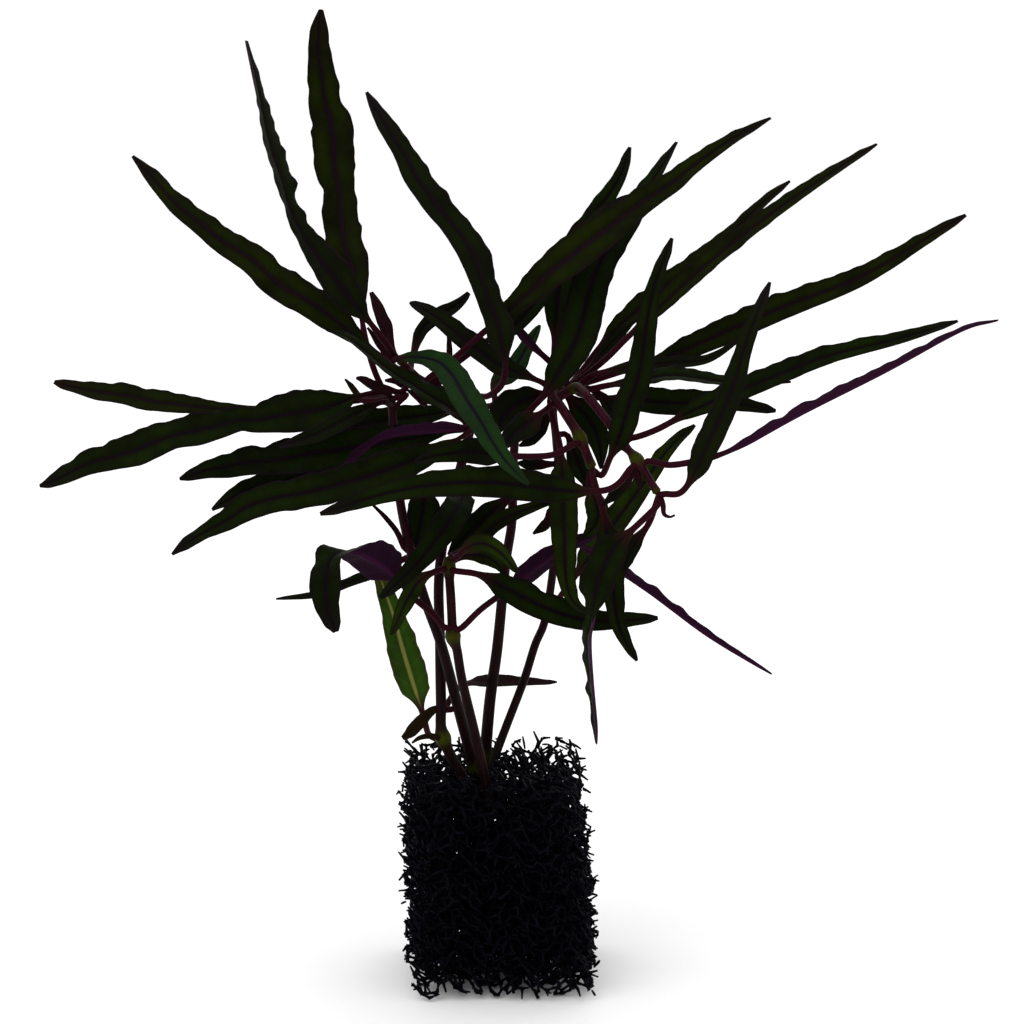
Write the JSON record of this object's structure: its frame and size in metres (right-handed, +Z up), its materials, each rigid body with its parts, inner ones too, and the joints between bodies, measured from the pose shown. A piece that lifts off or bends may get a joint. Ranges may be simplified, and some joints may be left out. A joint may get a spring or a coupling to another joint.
{
  "type": "aquarium plant",
  "caption": "Bushy hemigraphis water plant: long narrow dark green and purple leaves on slim stems rooted in an upright block of black filter foam.",
  "frame": {"origin": "centre of the foam block's flat underside", "axes": "+Z up, the plant's front faces -Y, +X to the right seen from the front"},
  "size_m": [0.1879, 0.0872, 0.195],
  "materials": {
    "foam": "matte",
    "stem": "satin",
    "leaf": "satin"
  },
  "bodies": {
    "root": {"foam_block": "foam", "leaf_left_1": "leaf", "leaf_left_2": "leaf", "leaf_left_3": "leaf", "leaf_left_4": "leaf", "leaf_left_5": "leaf", "leaf_left_6": "leaf", "leaf_left_7": "leaf", "leaf_left_8": "leaf", "leaf_low_1": "leaf", "leaf_low_2": "leaf", "leaf_low_3": "leaf", "leaf_low_4": "leaf", "leaf_low_5": "leaf", "leaf_low_6": "leaf", "leaf_low_7": "leaf", "leaf_low_8": "leaf", "leaf_low_9": "leaf", "leaf_middle_1": "leaf", "leaf_middle_2": "leaf", "leaf_middle_3": "leaf", "leaf_middle_4": "leaf", "leaf_middle_5": "leaf", "leaf_middle_6": "leaf", "leaf_middle_7": "leaf", "leaf_middle_8": "leaf", "leaf_middle_9": "leaf", "leaf_right_1": "leaf", "leaf_right_10": "leaf", "leaf_right_2": "leaf", "leaf_right_3": "leaf", "leaf_right_4": "leaf", "leaf_right_5": "leaf", "leaf_right_6": "leaf", "leaf_right_7": "leaf", "leaf_right_8": "leaf", "leaf_right_9": "leaf", "leaf_top_1": "leaf", "leaf_top_2": "leaf", "leaf_top_3": "leaf", "leaf_top_4": "leaf", "leaf_top_5": "leaf", "leaf_top_6": "leaf", "leaf_top_7": "leaf", "leaf_top_8": "leaf", "leaf_top_9": "leaf", "leaf_upper_left_1": "leaf", "leaf_upper_left_2": "leaf", "leaf_upper_left_3": "leaf", "leaf_upper_left_4": "leaf", "leaf_upper_left_5": "leaf", "shoot_inner_right": "stem", "shoot_left": "stem", "shoot_outer_right": "stem", "stem_back_left": "stem", "stem_front": "stem", "stem_left": "stem", "stem_middle": "stem", "stem_right": "stem"}
  },
  "joints": []
}
